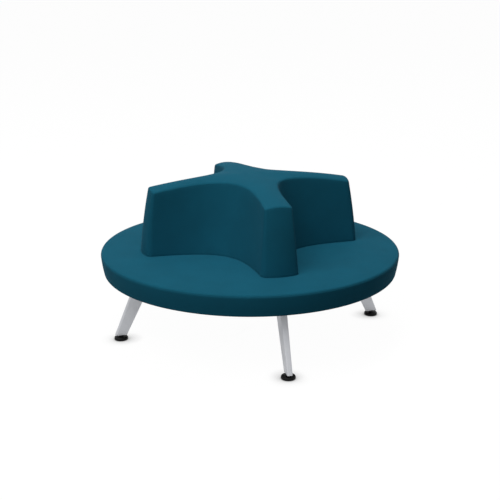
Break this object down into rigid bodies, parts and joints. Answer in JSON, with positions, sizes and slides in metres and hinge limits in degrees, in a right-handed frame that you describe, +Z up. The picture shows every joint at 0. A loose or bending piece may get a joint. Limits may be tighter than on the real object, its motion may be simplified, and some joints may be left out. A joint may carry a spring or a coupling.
{
  "type": "round sofa",
  "caption": "Round upholstered sofa on splayed cast legs, with a cross-shaped back in its middle that people lean against from every side.",
  "frame": {"origin": "on the floor under the centre of the round seat", "axes": "+Z up; -Y towards the front leg and the front arm of the back, +X to the right; the legs and the arms lie on X and Y"},
  "size_m": [1.56, 1.56, 0.841],
  "materials": {
    "upholstery": "matt woven wool-like cloth, petrol blue",
    "foam": "open-cell foam",
    "plywood": "sanded birch plywood",
    "dust_cloth": "black non-woven cloth",
    "cast_aluminium": "satin cast",
    "zinc": "zinc plated",
    "black_plastic": "moulded"
  },
  "bodies": {
    "sofa": {"seat_cover": "upholstery", "seat_foam": "foam", "seat_board": "plywood", "dust_cover": "dust_cloth", "back_cover": "upholstery", "back_foam": "foam", "back_base": "plywood", "back_upright_x": "plywood", "back_upright_y": "plywood", "back_bolt_front": "zinc", "barrel_nut_front": "zinc", "back_bolt_right": "zinc", "barrel_nut_right": "zinc", "back_bolt_rear": "zinc", "barrel_nut_rear": "zinc", "back_bolt_left": "zinc", "barrel_nut_left": "zinc", "leg_front": "cast_aluminium", "leg_screw_front_1": "zinc", "leg_screw_front_2": "zinc", "leg_screw_front_3": "zinc", "leg_screw_front_4": "zinc", "leg_right": "cast_aluminium", "leg_screw_right_1": "zinc", "leg_screw_right_2": "zinc", "leg_screw_right_3": "zinc", "leg_screw_right_4": "zinc", "leg_rear": "cast_aluminium", "leg_screw_rear_1": "zinc", "leg_screw_rear_2": "zinc", "leg_screw_rear_3": "zinc", "leg_screw_rear_4": "zinc", "leg_left": "cast_aluminium", "leg_screw_left_1": "zinc", "leg_screw_left_2": "zinc", "leg_screw_left_3": "zinc", "leg_screw_left_4": "zinc"},
    "glide_front": {"glide_foot_front": "black_plastic", "glide_stem_front": "zinc"},
    "glide_right": {"glide_foot_right": "black_plastic", "glide_stem_right": "zinc"},
    "glide_rear": {"glide_foot_rear": "black_plastic", "glide_stem_rear": "zinc"},
    "glide_left": {"glide_foot_left": "black_plastic", "glide_stem_left": "zinc"}
  },
  "joints": [
    {"name": "glide_front_height", "type": "slide", "parent": "sofa", "child": "glide_front", "axis": [0, 0, -1], "range_m": [0, 0.012]},
    {"name": "glide_right_height", "type": "slide", "parent": "sofa", "child": "glide_right", "axis": [0, 0, -1], "range_m": [0, 0.012]},
    {"name": "glide_rear_height", "type": "slide", "parent": "sofa", "child": "glide_rear", "axis": [0, 0, -1], "range_m": [0, 0.012]},
    {"name": "glide_left_height", "type": "slide", "parent": "sofa", "child": "glide_left", "axis": [0, 0, -1], "range_m": [0, 0.012]}
  ]
}
